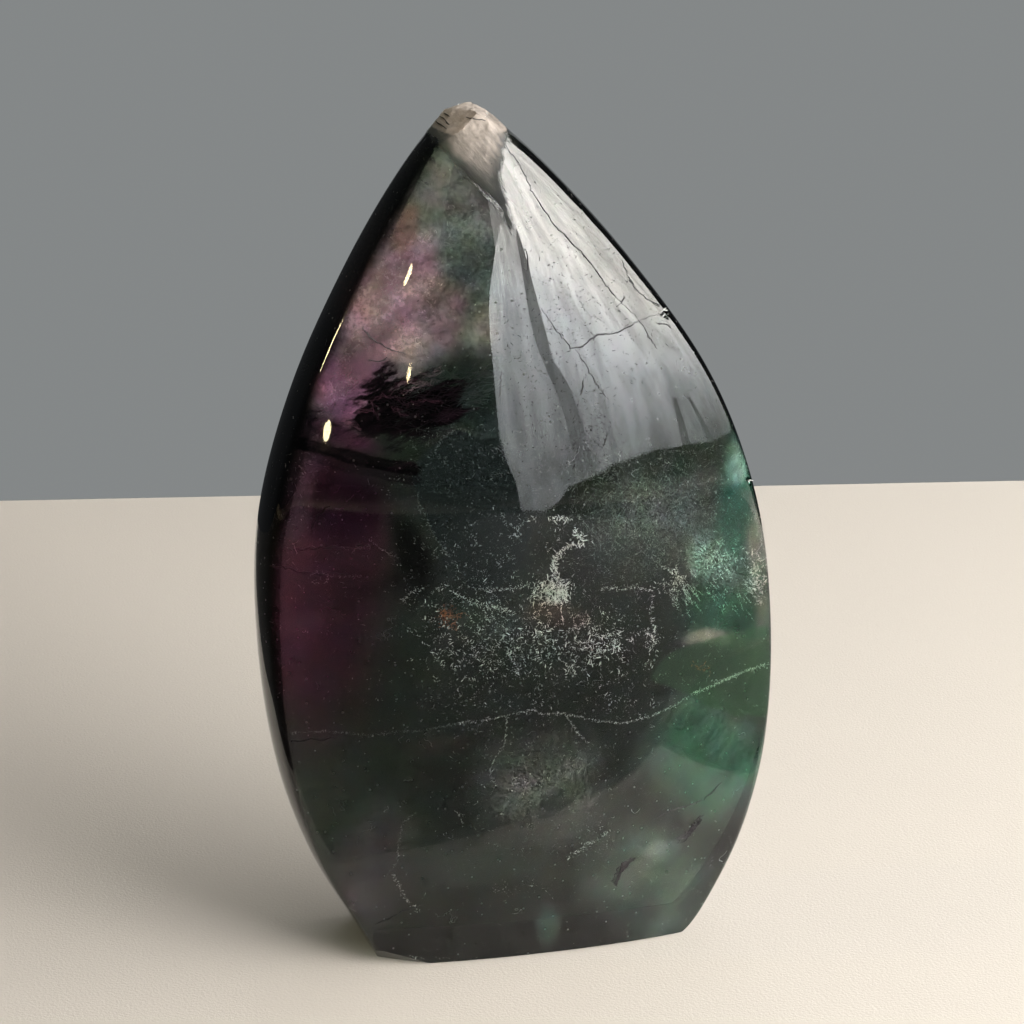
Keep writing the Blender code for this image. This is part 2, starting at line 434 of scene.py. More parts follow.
def fluorite(name, broken):
    """Polished fluorite, or the same where it is broken and frosted."""
    material, tree, shader, out = new_material(name)
    place = put(tree, "ShaderNodeTexCoord").outputs["Object"]
    tint = marked(tree, "tint").outputs["Color"]
    milk = marked(tree, "milk").outputs["Fac"]
    lint = marked(tree, "lint").outputs["Fac"]

    # Cloudiness comes in wisps and lint, and the tint is mottled.
    along_wisps = turned(tree, place, (0, 0, 0), -30, (0.011, 0.006, 0.005))
    wisp = noise_at(tree, along_wisps, 1.0, 4.0, 0.62)[0]
    along_threads = turned(tree, place, (0, 0, 0), 42, (0.00065, 0.00034, 0.0003))
    thread = noise_at(tree, along_threads, 1.0, 3.0, 0.7)[0]
    off_thread = maths(tree, "ABSOLUTE", maths(tree, "SUBTRACT", thread, 0.5))
    web = ramp(tree, off_thread, 0.0, 0.055, 3.6, -0.85)
    milk = maths(tree, "MULTIPLY", milk, ramp(tree, wisp, 0.34, 0.68, 0.50, 1.5))
    haze = noise_at(tree, place, 1900.0, 3.0, 0.7)[0]
    milk = maths(tree, "MULTIPLY", milk, ramp(tree, haze, 0.30, 0.70, 0.62, 1.38))
    milk = maths(tree, "MULTIPLY", milk, maths(tree, "ADD", 1.0, maths(tree, "MULTIPLY", lint, web)))
    mottle = noise_at(tree, place, 260.0, 3.0, 0.6)
    tint = mixed_colour(tree, 0.35, tint, mottle[1], "OVERLAY")

    # Zones with an edge
    along_streaks = turned(tree, place, (0, 0, 0), -22, (0.0050, 0.004, 0.0016))
    streaky = noise_at(tree, along_streaks, 1.0, 5.0, 0.72)[0]
    pane = edged(tree, "pane", 6.0, thread, 1.5)
    tint = mixed_colour(tree, pane, tint, PANE_TINT)
    milk = mixed_value(tree, pane, milk, ramp(tree, web, 0.0, 3.6, 0.004, 0.050))
    pocket = edged(tree, "pocket", 8.0, mottle[0], 2.0)
    tint = mixed_colour(tree, maths(tree, "MULTIPLY", pocket, 0.75), tint, POCKET_TINT)
    milk = mixed_value(tree, maths(tree, "MULTIPLY", pocket, 0.5), milk, 0.050)
    ledge = edged(tree, "ledge", 100.0, streaky, 6.0)
    black = maths(tree, "MAXIMUM", ledge, edged(tree, "band", 12.0, streaky, 1.5))
    tint = mixed_colour(tree, black, tint, LEDGE_TINT)
    milk = mixed_value(tree, black, milk, ramp(tree, streaky, 0.50, 0.70, 0.0, 0.07))

    # The polish left pits, and short scratches.
    cells = put(tree, "ShaderNodeTexVoronoi", {"Vector": place, "Scale": 1000.0, "Randomness": 1.0})
    pick = put(tree, "ShaderNodeSeparateColor", {0: cells.outputs["Color"]}).outputs[0]
    pit = ramp(tree, cells.outputs["Distance"], 0.06, 0.20, 1.0, 0.0)
    pit = maths(tree, "MULTIPLY", pit, ramp(tree, pick, 0.62, 0.92))
    vein = maths(tree, "ABSOLUTE", maths(tree, "SUBTRACT", mottle[0], 0.5))
    scratch = ramp(tree, vein, 0.0, 0.005, 1.0, 0.0)
    scratch = maths(tree, "MULTIPLY", scratch, ramp(tree, wisp, 0.60, 0.66))
    flaw = maths(tree, "MAXIMUM", pit, scratch)
    rough = mixed_value(tree, flaw, ramp(tree, wisp, 0.35, 0.75, 0.02, 0.05), 0.65)

    if broken:
        # Frosted: pale and grainy above, and dark and striated lower down
        along_striae = turned(tree, place, on_stone(*STRIAE_AT)[0], STRIAE_TURN, (0.0045, 0.001, 0.0005))
        striae = noise_at(tree, along_striae, 1.0, 4.0, 0.65)[0]
        chalk = noise_at(tree, place, 650.0, 4.0, 0.65)[0]
        frosted = edged(tree, "frosted", 14.0, striae, 3.0)
        grainy = ramp(tree, chalk, 0.3, 0.65, 0.7, 1.15)
        grainy = maths(tree, "MULTIPLY", grainy, ramp(tree, striae, 0.38, 0.58, 0.75, 1.08))
        # The frost mark carries painted light on the broken top.
        frost_and_painted_light = maths(tree, "MULTIPLY", frosted, marked(tree, "frost_and_painted_light").outputs["Fac"])
        frost_and_painted_light = maths(tree, "MULTIPLY", frost_and_painted_light, grainy)
        tint = mixed_colour(tree, ramp(tree, frost_and_painted_light, 0.0, 0.40), tint, FROST_TINT)
        milk = mixed_value(tree, frosted, milk, maths(tree, "MULTIPLY", frost_and_painted_light, FROST_MILK))
        rough = mixed_value(tree, frosted, rough, 0.45)
        shine = mixed_colour(tree, frosted, (1.0, 1.0, 1.0, 1.0), FROST_SHINE)
        tree.links.new(shine, shader.inputs["Specular Tint"])
        relief = maths(tree, "ADD", chalk, striae)
        relief = maths(tree, "MULTIPLY", relief, maths(tree, "MULTIPLY", frosted, 0.12))
        bump = put(tree, "ShaderNodeBump", {"Height": relief, "Distance": 0.0005, "Strength": 1.0})
        tree.links.new(bump.outputs[0], shader.inputs["Normal"])

    tree.links.new(tint, shader.inputs["Base Color"])
    tree.links.new(maths(tree, "SUBTRACT", 1.0, milk), shader.inputs["Transmission Weight"])
    tree.links.new(rough, shader.inputs["Roughness"])
    shader.inputs["IOR"].default_value = INDEX

    # Light reaches the veils inside through the polished face.
    path = put(tree, "ShaderNodeLightPath")
    clear = put(tree, "ShaderNodeBsdfTransparent", {"Color": SHADOW_TINT})
    both = put(
        tree,
        "ShaderNodeMixShader",
        {0: path.outputs["Is Shadow Ray"], 1: shader.outputs[0], 2: clear.outputs[0]},
    )
    tree.links.new(both.outputs[0], out.inputs["Surface"])
    smoke = put(tree, "ShaderNodeVolumeAbsorption", {"Color": SMOKE_TINT, "Density": SMOKE_DENSITY})
    tree.links.new(smoke.outputs[0], out.inputs["Volume"])
    return material


stone.data.materials.append(fluorite("fluorite", broken=False))
stone.data.materials.append(fluorite("broken_fluorite", broken=True))
near_break = reach > -12
for face in stone.data.polygons:
    face.material_index = int(near_break[list(face.vertices)].any())
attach(stone, "root")
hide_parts(STONE)

# Hairline cracks
# Fine cracks that reach the polished face, where they hold dark polish. They run down through the
# upper right half, two thin ones curve through the mauve at the left, and a few cross the tip.
CRACK_RADIUS = 0.000095
FACE_CRACKS = (
    ((504, 143), (516, 159), (526, 178), (535, 196), (545, 212), (555, 225), (571, 243), (582, 253),
     (594, 267), (606, 284), (614, 296), (621, 303), (630, 311), (638, 318)),
    ((622, 261), (628, 275), (633, 285), (640, 294), (650, 300), (660, 307)),
    ((656, 322), (663, 324), (671, 327)),
    ((618, 307), (623, 301), (625, 297)),
    ((541, 308), (553, 325), (563, 339), (571, 348), (582, 347), (590, 339), (598, 335), (610, 334),
     (620, 331), (640, 320), (660, 313)),
    ((575, 349), (586, 365), (594, 380), (602, 392), (608, 398)),
    ((582, 380), (583, 388), (580, 396)),
    ((502, 370), (500, 383), (499, 398)),
    ((524, 268), (528, 273), (527, 250)),
    ((607, 433), (605, 440), (603, 447)),
    ((639, 320), (647, 333), (657, 350)),
    ((660, 304), (652, 301)),
    ((362, 327), (370, 337), (377, 343), (390, 349), (406, 354)),
    ((370, 360), (380, 362), (388, 358)),
    ((433, 119), (441, 124), (446, 130)),
    ((437, 115), (444, 119), (450, 125)),
    ((441, 107), (449, 104), (455, 102)),
    ((457, 101), (468, 99), (477, 101)),
    ((486, 105), (492, 109), (496, 114)),
    ((466, 118), (476, 119), (486, 122)),
    ((440, 111), (446, 113), (450, 117)),
)


def along(rng, line, step, jitter):
    """Spots at about every step along a line of pixels, each moved aside a little."""
    line = np.array(line, float)
    lengths = np.r_[0.0, np.cumsum(np.hypot(*np.diff(line, axis=0).T))]
    at = np.linspace(0.0, lengths[-1], max(2, round(lengths[-1] / step)))
    spots = np.column_stack([np.interp(at, lengths, line[:, k]) for k in (0, 1)])
    return spots + rng.normal(0.0, jitter, spots.shape)


def in_stone(column, row, depth):
    """A spot this deep behind the face, where the camera sees it at a pixel through the stone."""
    met = on_stone(column, row)
    if met is None:
        return None
    place, normal = met
    way = sight_line(column, row)
    into = -way.dot(normal)
    straight = math.sqrt(1 - (1 - into**2) / INDEX**2)
    return place + ((way + normal * into) / INDEX - normal * straight) * depth


def strands(name, lines, radius, depth, material, seed, step=3.0, jitter=0.6, sides=0):
    """Crooked threads along lines of pixels, thinner at both ends, at a depth below the face."""
    rng = np.random.default_rng(seed)
    curve = bpy.data.curves.new(name, "CURVE")
    curve.dimensions = "3D"
    curve.bevel_depth = radius
    curve.bevel_resolution = sides
    curve.use_fill_caps = True
    for line in lines:
        places = [in_stone(*spot, depth) for spot in along(rng, line, step, jitter)]
        places = [place for place in places if place is not None]
        if len(places) < 2:
            continue
        thread = curve.splines.new("POLY")
        thread.points.add(len(places) - 1)
        for k, (point, place) in enumerate(zip(thread.points, places)):
            end = math.sin(math.pi * (k + 0.6) / (len(places) + 0.2))
            point.co = (*place, 1.0)
            point.radius = (0.35 + 0.65 * end) * rng.uniform(0.55, 1.3)
    piece = new_piece(name, curve)
    select_only(piece)
    bpy.ops.object.convert(target="MESH")
    piece = bpy.context.object
    piece.data.materials.append(material)
    bpy.ops.object.shade_smooth_by_angle(angle=math.radians(60))
    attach(piece, "root")
    return piece


def grained(name, dark, light, scale, roughness):
    """A dull finish that varies between two colours."""
    material, tree, shader, out = new_material(name)
    place = put(tree, "ShaderNodeTexCoord").outputs["Object"]
    grain = noise_at(tree, place, scale, 4.0, 0.6)[0]
    colour = mixed_colour(tree, ramp(tree, grain, 0.35, 0.65), dark, light)
    tree.links.new(colour, shader.inputs["Base Color"])
    tree.links.new(ramp(tree, grain, 0.3, 0.7, roughness, roughness * 0.7), shader.inputs["Roughness"])
    bump = put(tree, "ShaderNodeBump", {"Height": grain, "Distance": 0.0001, "Strength": 0.6})
    tree.links.new(bump.outputs[0], shader.inputs["Normal"])
    return material


crack_finish = grained("crack_grime", (0.010, 0.010, 0.011, 1.0), (0.035, 0.035, 0.036, 1.0), 900.0, 0.8)
strands("hairline_cracks", FACE_CRACKS, CRACK_RADIUS, 0.0, crack_finish, seed=3)

# Dark inclusions
# Flakes and smoke of dark mineral that the stone grew round: smoke over the black ledge with
# streaks of mauve in it, thin lenses on the left, and leaf-shaped blades near the foot.
LENSES = (
    ((290, 741), (312, 739), (336, 737)),
    ((284, 548), (310, 549), (340, 547), (368, 550)),
    ((270, 566), (296, 571), (322, 574), (350, 573)),
    ((330, 506), (318, 516), (312, 528)),
)
BLADES = (
    ((376, 924), (392, 917), (404, 911), (423, 905)),
    ((655, 819), (667, 812), (678, 808), (701, 801)),
    ((704, 799), (712, 792), (721, 783)),
)
LEAVES = (
    ((614, 884), (619, 874), (625, 865), (633, 858)),
    ((678, 841), (688, 834), (695, 826), (701, 816)),
)
LEDGE_MIDDLE, LEDGE_HALF = (424, 400), (66, 26)
LEDGE_STREAKS = 260
MAUVE_STREAKS = (
    ((371, 400), (384, 396), (398, 399), (404, 404)),
    ((396, 389), (408, 381), (424, 383)),
    ((402, 394), (420, 386), (438, 380)),
    ((408, 405), (424, 400), (442, 403)),
    ((371, 403), (376, 412), (379, 421)),
    ((344, 421), (352, 424), (360, 430)),
    ((388, 392), (400, 384), (412, 379)),
    ((350, 414), (362, 411), (374, 408)),
    ((420, 372), (430, 376), (440, 370)),
    ((392, 408), (400, 412), (406, 418)),
)
dark_finish = grained("dark_mineral", (0.004, 0.004, 0.004, 1.0), (0.020, 0.016, 0.018, 1.0), 700.0, 0.6)
strands("dark_lenses", LENSES, 0.00018, 0.0010, dark_finish, seed=6, step=4, jitter=0.8, sides=1)
strands("dark_blades", BLADES * 2, 0.00007, 0.0, dark_finish, seed=7, step=3, jitter=0.7)
strands("dark_leaves", LEAVES * 9, 0.00012, 0.00003, dark_finish, seed=8, step=5, jitter=1.7)

rng = np.random.default_rng(11)
streaks = []
while len(streaks) < LEDGE_STREAKS:
    across, down = rng.uniform(-1, 1, 2)
    if across**2 + down**2 > 1:
        continue
    start = np.array(LEDGE_MIDDLE) + (LEDGE_HALF[0] * across, LEDGE_HALF[1] * down - 14 * across)
    heading = math.radians(rng.normal(14, 18))
    run = rng.uniform(8, 26)
    end = start + (run * math.cos(heading), -run * math.sin(heading))
    streaks.append((tuple(start), tuple(end)))
strands("ledge_smoke", streaks, 0.00007, 0.0009, dark_finish, seed=12, step=4, jitter=1.1)
mauve_finish = grained("mauve_veil", (0.07, 0.04, 0.055, 1.0), (0.30, 0.19, 0.22, 1.0), 900.0, 0.6)
strands("mauve_streaks", MAUVE_STREAKS * 5, 0.00003, 0.0004, mauve_finish, seed=13, step=3, jitter=1.8)

# Veils and flecks
# Healed cracks inside the stone, lined with tiny bubbles and flakes that catch the light. A long
# one crosses the lower half, and the rest hang round a white curl in the middle. The polished
# face has fine pits, its edges small light chips, and white flecks stand on them as painted glints.
FLAKE_SIDES = 5
SEAM_FULL_FROM = 720  # the column right of which the healed crack is densest
HEALED_CRACK = (
    ((767, 664), (748, 670), (724, 680), (708, 688), (694, 693), (675, 705), (651, 716), (625, 723),
     (598, 721), (578, 716), (558, 713), (542, 714), (532, 710), (509, 715), (485, 720), (459, 723)),
    ((565, 715), (572, 724), (578, 733), (588, 743)),
    ((507, 716), (505, 743), (492, 763), (490, 776), (497, 786)),
)
CURL = (
    ((550, 519), (560, 518), (568, 520)),
    ((574, 531), (580, 536), (582, 541), (577, 545), (568, 547), (558, 555), (554, 564), (555, 574),
     (551, 584)),
    ((541, 584), (550, 589), (560, 592), (568, 596), (558, 600), (541, 604)),
    ((543, 588), (548, 595), (556, 598), (566, 590)),
)
WHITE_THREADS = (
    ((501, 513), (505, 523), (517, 529), (519, 541)),
    ((517, 529), (525, 522), (535, 519)),
    ((470, 587), (485, 589), (500, 590), (517, 588), (529, 584)),
    ((470, 604), (490, 607), (511, 612)),
    ((402, 601), (412, 593), (423, 587)),
    ((431, 593), (440, 588), (449, 585)),
    ((451, 591), (466, 599), (484, 605), (500, 608), (515, 613)),
    ((601, 588), (620, 588), (640, 588), (652, 589), (653, 604), (650, 614)),
    ((568, 631), (580, 625), (590, 619)),
    ((576, 641), (584, 647), (602, 649)),
    ((456, 811), (460, 817), (464, 823)),
    ((568, 859), (580, 850), (592, 842), (608, 832)),
    ((502, 635), (510, 655), (520, 678)),
    ((393, 876), (399, 886), (406, 899), (419, 912)),
    ((694, 693), (708, 688), (724, 680), (748, 670), (767, 664)),
    ((718, 683), (728, 679), (738, 674)),
)
FAINT_THREADS = (
    ((419, 501), (433, 534), (449, 556), (460, 572)),
    ((370, 540), (382, 550), (400, 559)),
    ((435, 450), (443, 437), (457, 429), (468, 431), (471, 438)),
    ((416, 813), (403, 822), (398, 846), (398, 862), (386, 876)),
    ((660, 455), (674, 451), (694, 451)),
    ((660, 458), (682, 470), (694, 479)),
    ((661, 474), (670, 480)),
    ((576, 513), (597, 537), (611, 560)),
    ((639, 549), (650, 557), (661, 565)),
    ((459, 723), (426, 731), (399, 731), (369, 736), (326, 731), (290, 733)),
    ((308, 578), (316, 571), (328, 575), (325, 584), (312, 582)),
    ((329, 576), (345, 577), (362, 576)),
    ((424, 270), (430, 284), (426, 296), (433, 311)),
)
FEATHERS = (
    ((660, 566), (674, 571), (682, 583), (690, 598), (697, 605)),
    ((674, 571), (676, 582), (678, 592)),
    ((675, 570), (684, 586), (688, 600)),
    ((663, 579), (664, 589)),
    ((707, 592), (714, 598), (719, 605), (723, 612)),
    ((743, 584), (752, 592), (760, 604)),
    ((750, 575), (758, 584), (764, 596)),
)
# Small light chips along the foot's edge, and on the edges a whitish chip and single glints, the glints
# painted highlights of white flecks
FOOT_CHIPS = (
    ((404, 957), (414, 957), (423, 958)),
    ((437, 958), (449, 957)),
    ((470, 959), (476, 959)),
    ((506, 959), (513, 958)),
)
PAINTED_GLINTS_AND_CHIP = (
    (458, 105), (487, 114), (750, 480), (749, 482), (496, 117), (468, 102), (662, 311), (664, 313),
    (666, 315), (663, 316), (665, 310), (667, 317), (661, 313), (664, 309), (668, 314),
)
# Clouds of flecks: the middle and half sizes in pixels, how many strings of flecks, how long, and
# how large a fleck is in millimetres
FLECK_CLOUDS = (
    ((480, 640), (62, 42), 190, 4, 0.10),
    ((560, 640), (70, 40), 200, 4, 0.11),
    ((612, 640), (20, 12), 30, 4, 0.16),
    ((553, 592), (20, 12), 60, 5, 0.17),
    ((652, 640), (7, 22), 26, 4, 0.17),
    ((640, 690), (60, 34), 60, 3, 0.08),
    ((470, 560), (70, 50), 120, 3, 0.08),
    ((430, 470), (60, 60), 110, 2, 0.06),
    ((540, 780), (70, 60), 90, 3, 0.06),
    ((523, 782), (12, 4), 16, 3, 0.13),
    ((590, 840), (30, 14), 24, 3, 0.08),
    ((520, 888), (30, 5), 22, 3, 0.07),
    ((720, 560), (14, 18), 60, 3, 0.12),
    ((756, 575), (9, 20), 60, 4, 0.15),
    ((680, 585), (14, 14), 20, 4, 0.12),
    ((470, 700), (110, 18), 70, 3, 0.07),
    ((500, 850), (150, 90), 50, 1, 0.06),
    ((650, 520), (55, 50), 160, 2, 0.06),
    ((480, 270), (20, 30), 26, 2, 0.05),
    ((430, 290), (8, 20), 18, 3, 0.08),
    ((485, 645), (60, 40), 36, 6, 0.16),
    ((590, 640), (56, 36), 40, 6, 0.16),
    ((560, 690), (90, 34), 18, 4, 0.13),
    ((520, 560), (90, 40), 20, 4, 0.12),
)
RUST_CLOUDS = (
    ((447, 617), (11, 9), 60, 4, 0.13),
    ((699, 668), (9, 4), 16, 3, 0.12),
)
# Lint, dust and pits: the middle, the spread and the count
LINT_CLOUDS = (
    ((655, 515), (44, 38), 6000), ((600, 500), (20, 40), 1300), ((725, 540), (22, 50), 1300),
    ((540, 780), (46, 46), 900), ((460, 470), (36, 40), 700), ((560, 640), (90, 50), 900),
    ((490, 570), (60, 60), 700), ((700, 740), (50, 60), 500), ((400, 290), (36, 40), 350),
    ((430, 240), (40, 40), 250), ((660, 870), (60, 40), 350), ((540, 440), (30, 40), 500),
    ((416, 152), (8, 10), 70), ((300, 490), (34, 40), 400), ((310, 620), (30, 60), 300),
    ((500, 860), (90, 40), 300),
)
DUST = (
    ((500, 560), (110, 130), 700), ((540, 640), (80, 45), 800), ((540, 780), (60, 60), 240),
    ((720, 560), (20, 40), 160), ((590, 600), (50, 50), 300),
)
PITS = (
    ((600, 300), (50, 70), 900), ((575, 245), (30, 40), 340), ((590, 430), (14, 30), 380),
    ((530, 380), (16, 60), 420), ((650, 330), (50, 50), 300), ((470, 300), (60, 80), 160),
    ((556, 325), (14, 26), 220), ((601, 330), (14, 20), 120), ((606, 430), (9, 14), 120),
    ((580, 430), (12, 40), 300),
)
# Strokes of the feathers: the middle, the spread and the count
STROKES = (
    ((682, 588), (9, 9), 26), ((752, 580), (6, 17), 34), ((721, 600), (8, 7), 9), ((716, 566), (14, 16), 26),
)
STROKE_HEADING = 58


def flake():
    """A small flat splinter, as its points and faces."""
    bpy.ops.object.select_all(action="DESELECT")
    bpy.ops.mesh.primitive_cone_add(vertices=FLAKE_SIDES, radius1=1.0, radius2=0.0, depth=0.8)
    made = bpy.context.object
    bpy.ops.object.mode_set(mode="EDIT")
    bpy.ops.transform.resize(value=(1.0, 0.6, 0.8))
    bpy.ops.transform.vertex_random(offset=0.25, seed=4)
    bpy.ops.object.mode_set(mode="OBJECT")
    points = np.array([vert.co[:] for vert in made.data.vertices])
    faces = [tuple(face.vertices) for face in made.data.polygons]
    bpy.data.objects.remove(made)
    return points, faces


def scatter(name, spots, material, seed, shape=(1.5, 0.5, 0.5)):
    """Flakes at spots, each given as its column, row, depth and size, stretched to this shape."""
    rng = np.random.default_rng(seed)
    points, faces = flake()
    all_points, all_faces = [], []
    for column, row, depth, size in spots:
        place = in_stone(column, row, depth)
        if place is None or place.z < 2 * size:
            continue
        turn, _ = np.linalg.qr(rng.normal(size=(3, 3)))
        turn *= np.linalg.det(turn)
        first = len(all_points) * len(points)
        all_points.append(points * shape @ turn.T * size * rng.uniform(0.5, 1.3) + np.array(place))
        all_faces += [tuple(first + i for i in face) for face in faces]
    mesh = bpy.data.meshes.new(name)
    mesh.from_pydata(np.concatenate(all_points).tolist(), [], all_faces)
    mesh.materials.append(material)
    piece = new_piece(name, mesh)
    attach(piece, "root")
    return piece


def wandering(rng, clouds):
    """Short crooked strings of flecks in clouds, as columns, rows, depths and sizes."""
    spots = []
    for (column, row), (wide, tall), strings, length, size in clouds:
        for _ in range(strings):
            reach = rng.normal(0.0, 0.5, 2).clip(-1.1, 1.1)
            at = np.array((column + wide * reach[0], row + tall * reach[1]))
            heading = rng.uniform(0, math.tau)
            depth = rng.uniform(0.0004, 0.0018)
            for _ in range(1 + rng.poisson(length - 1)):
                spots.append((*at, depth, size / 1000 * rng.lognormal(-0.15, 0.35)))
                heading += rng.normal(0.0, 0.9)
                at = at + rng.uniform(1.2, 3.4) * np.array((math.cos(heading), math.sin(heading)))
    return spots


def lined(rng, lines, step, jitter, size, depth):
    """Flecks strung along lines of pixels."""
    return [
        (*spot, depth + rng.uniform(0.0, 0.0005), size * rng.uniform(0.5, 1.3))
        for line in lines for spot in along(rng, line, step, jitter)
    ]


white_veil_and_glint_finish = grained("white_veil_and_painted_glint", (0.80, 0.81, 0.78, 1.0), (0.95, 0.95, 0.92, 1.0), 2500.0, 0.55)
rng = np.random.default_rng(21)
scatter("white_flecks", wandering(rng, FLECK_CLOUDS), white_veil_and_glint_finish, seed=22)
scatter("white_curl", lined(rng, CURL * 3, 1.2, 2.0, 0.00022, 0.0006), white_veil_and_glint_finish, seed=23)


def cloud(rng, clouds, sizes, low, high):
    """Single spots in clouds, each given as its middle, spread and count."""
    return [
        (*spot, rng.uniform(low, high), rng.choice(sizes))
        for middle, spread, count in clouds for spot in rng.normal(middle, spread, (count, 2))
    ]


def strokes(rng, clouds):
    """Short straight lines of pixels, all heading much the same way."""
    lines = []
    for middle, spread, count in clouds:
        for start in rng.normal(middle, spread, (count, 2)):
            heading = math.radians(rng.normal(STROKE_HEADING, 10))
            run = rng.uniform(4, 13) * np.array((math.cos(heading), math.sin(heading)))
            lines.append((tuple(start), tuple(start + run)))
    return lines


scatter("dust", cloud(rng, DUST, (0.00004, 0.00005, 0.00008), 0.0004, 0.0024), white_veil_and_glint_finish, seed=28)
feathers = lined(rng, strokes(rng, STROKES), 1.0, 0.35, 0.00010, 0.0005)
scatter("feathers", feathers, white_veil_and_glint_finish, seed=29)
threads = lined(rng, WHITE_THREADS * 3, 2.0, 1.3, 0.00012, 0.0009)
threads += lined(rng, FEATHERS * 2, 1.4, 1.0, 0.00011, 0.0006)
scatter("white_threads", threads, white_veil_and_glint_finish, seed=24)
# The seam thins out to the left.
seam = lined(rng, HEALED_CRACK * 2, 1.0, 0.7, 0.00009, 0.0005)
seam = [spot for spot in seam if rng.random() < spot[0] / SEAM_FULL_FROM]
scatter("healed_crack_seam", seam, white_veil_and_glint_finish, seed=25)
faint_finish = grained("faint_veil", (0.28, 0.31, 0.29, 1.0), (0.66, 0.69, 0.64, 1.0), 900.0, 0.6)
faint = lined(rng, FAINT_THREADS * 2, 1.3, 0.7, 0.00008, 0.0006)
scatter("faint_threads", faint, faint_finish, seed=26, shape=(1.8, 0.35, 0.35))
lint = cloud(rng, LINT_CLOUDS, (0.00007, 0.00010, 0.00015), 0.0003, 0.0012)
scatter("lint", lint, faint_finish, seed=30, shape=(2.0, 0.13, 0.13))
# The glints are white flecks at the face: painted highlights.
chips_and_painted_glints = lined(rng, FOOT_CHIPS, 2.5, 0.8, 0.00012, 0.0) + [(*spot, 0.0, 0.00025) for spot in PAINTED_GLINTS_AND_CHIP]
scatter("edge_chips_and_painted_glints", chips_and_painted_glints, white_veil_and_glint_finish, seed=32)
pits = cloud(rng, PITS, (0.00005, 0.00007, 0.00010, 0.00018), 0.0, 0.00001)
scatter("polish_pits", pits, crack_finish, seed=31)
rust_finish = grained("rust_stain", (0.26, 0.07, 0.03, 1.0), (0.62, 0.22, 0.09, 1.0), 1200.0, 0.7)
scatter("rust_flecks", wandering(rng, RUST_CLOUDS), rust_finish, seed=27)

# Floor
# A plain pale floor with a fine grain. Its far edge lies behind the stone.
FLOOR_BEHIND = 0.186
FLOOR_TURN = -11.2
FLOOR_LONG = 3.0
FLOOR_COLOUR = (0.50, 0.465, 0.42, 1.0)

bpy.ops.object.select_all(action="DESELECT")
bpy.ops.mesh.primitive_plane_add(size=FLOOR_LONG)
floor = bpy.context.object
floor.name = "floor"
behind = -bearing(FLOOR_TURN, 0.0)
floor.location = behind * (FLOOR_BEHIND - FLOOR_LONG / 2)
floor.location.z = -0.00005
floor.rotation_euler.z = math.radians(FLOOR_TURN)
bpy.ops.object.transform_apply(location=True, rotation=True, scale=True)
material, tree, shader, out = new_material("pale_floor")
place = put(tree, "ShaderNodeTexCoord").outputs["Object"]
grain = noise_at(tree, place, 2600.0, 3.0, 0.6)[0]
shader.inputs["Base Color"].default_value = FLOOR_COLOUR
shader.inputs["Roughness"].default_value = 0.55
bump = put(tree, "ShaderNodeBump", {"Height": grain, "Distance": 0.0001, "Strength": 0.5})
tree.links.new(bump.outputs[0], shader.inputs["Normal"])
floor.data.materials.append(material)

# Light
# A wide soft window on the right, its post and bars dimly lit from behind, a soft panel high at
# the back, two pairs of small warm lamps on the left, and dim grey all round. The window's edges
# are where the photo shows them mirrored in the polished face.
WINDOW_AZIMUTH = 50.0
WINDOW_ELEVATION = 12.0
WINDOW_DISTANCE = 0.6
WINDOW_WARM, WINDOW_COOL = (1.0, 0.965, 0.91, 1.0), (0.94, 0.97, 1.0, 1.0)
WINDOW_FROM = Vector((0.005, -0.010, 0.072))
BAR_BEHIND = 0.01
# How bright a pane is at the horizon and high up, and the elevation from which it counts as high
SIDE_GLOW = (3.2, 12.0, 10)
MAIN_GLOW = (3.8, 24.0, 18)
POST_GLOW = (2.8, 4.2, 16)
BARS_GLOW = (2.4, 4.0, 16)
SIDE_PANE = (
    (513, 222), (520, 260), (525, 290), (530, 320), (538, 350), (551, 380), (566, 421), (576, 462),
    (566, 491), (557, 503), (545, 511), (535, 515), (525, 519), (522, 511), (516, 482), (506, 458),
    (499, 430), (496, 401), (493, 365), (490, 335), (489, 310), (490, 288), (493, 266), (496, 245),
    (500, 226),
)
MAIN_PANE = (
    (690, 443), (676, 398), (672, 398), (682, 446), (654, 450), (639, 455), (613, 464), (595, 474),
    (592, 462), (582, 421), (566, 380), (553, 360), (550, 348), (542, 318), (534, 288), (527, 260),
    (518, 233), (511, 215), (505, 196),
)
POST = (
    (488, 200), (500, 290), (530, 370), (555, 440), (565, 488), (606, 470), (592, 400), (572, 335),
    (530, 195),
)
MAIN_PANE_FAR = ((14, 27), (14, 31), (60, 34), (106, 31), (106, 0), (92, 0))
MAIN_PANE_FOOT = ((714, 440), (690, 397), (687, 397), (708, 441))
BARS = ((666, 390), (674, 445), (714, 441), (694, 388))
WALL_GREY = (0.232, 0.244, 0.246, 1.0)
ROOM_GREY = (0.030, 0.032, 0.034, 1.0)
LAMPS = (((410, 271), 0.018), ((409, 373), 0.010), ((330, 348), 0.050), ((327, 430), 0.015))
LAMP_DISTANCE = 1.0
LAMP_WATTS = 2160.0  # for each square metre of the lamp's radius squared
LAMP_COLOUR = (1.0, 0.80, 0.45)
BACK_PANEL_AT, BACK_PANEL_DISTANCE = (140, 52), 0.9
BACK_PANEL_WIDE, BACK_PANEL_TALL, BACK_PANEL_WATTS = 0.7, 0.4, 1.8


def mirrored(column, row):
    """Where the stone and the way in which it mirrors what the camera sees at a pixel."""
    place, normal = on_stone(column, row)
    return place, sight_line(column, row).reflect(normal)


def on_window(start, way, behind=0.0):
    """Where a line meets the window's plane, or a plane this far behind it."""
    facing = bearing(WINDOW_AZIMUTH, WINDOW_ELEVATION)
    middle = WINDOW_FROM + facing * (WINDOW_DISTANCE + behind)
    return start + way * ((middle - start).dot(facing) / way.dot(facing))


